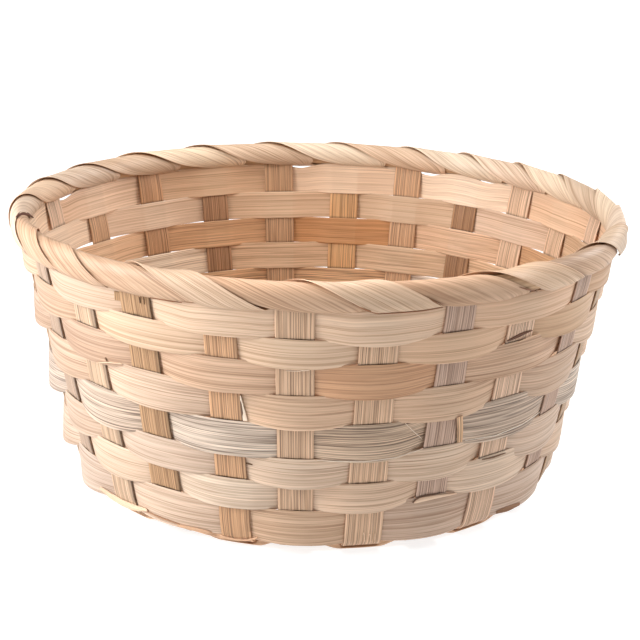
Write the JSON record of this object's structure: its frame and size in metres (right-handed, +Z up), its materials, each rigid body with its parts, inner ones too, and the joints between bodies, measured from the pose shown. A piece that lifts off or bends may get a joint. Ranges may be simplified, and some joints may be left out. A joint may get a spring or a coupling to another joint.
{
  "type": "woven splint basket",
  "caption": "Round flared basket plaited from flat wood splints, with an open plaited base, woven wall and a rim of two hoops bound by a spiral splint lashing.",
  "frame": {"origin": "on the floor under the middle of the base", "axes": "+Z up along the basket's axis, -Y to the front as pictured, X and Y along the two directions of the base plait"},
  "size_m": [0.2506, 0.2504, 0.1125],
  "materials": {
    "stake_splint": "dry split wood, ribbed grain along the strip, satin",
    "weaver_splint": "pale shaved wood splint, fine lengthwise grain, satin",
    "grey_splint": "weathered greyish splint with dark grain lines, satin",
    "lashing_splint": "thin pale wood shaving, fine lengthwise grain, satin",
    "rim_hoop": "half-round split rod, matt"
  },
  "bodies": {
    "root": {"stake_front_back_1": "stake_splint", "stake_front_back_2": "stake_splint", "stake_front_back_3": "stake_splint", "stake_front_back_4": "stake_splint", "stake_front_back_5": "stake_splint", "stake_front_back_6": "stake_splint", "stake_left_right_1": "stake_splint", "stake_left_right_2": "stake_splint", "stake_left_right_3": "stake_splint", "stake_left_right_4": "stake_splint", "stake_left_right_5": "stake_splint", "stake_left_right_6": "stake_splint", "weaver_row_1": "weaver_splint", "weaver_row_2": "weaver_splint", "weaver_row_3": "weaver_splint", "weaver_row_4": "weaver_splint", "weaver_row_5": "grey_splint", "weaver_row_6": "weaver_splint", "weaver_row_7": "weaver_splint", "weaver_row_8": "weaver_splint", "base_ring_weaver": "weaver_splint", "rim_outer_hoop": "rim_hoop", "rim_inner_hoop": "rim_hoop", "rim_lashing_a": "lashing_splint", "rim_lashing_b": "lashing_splint"}
  },
  "joints": []
}
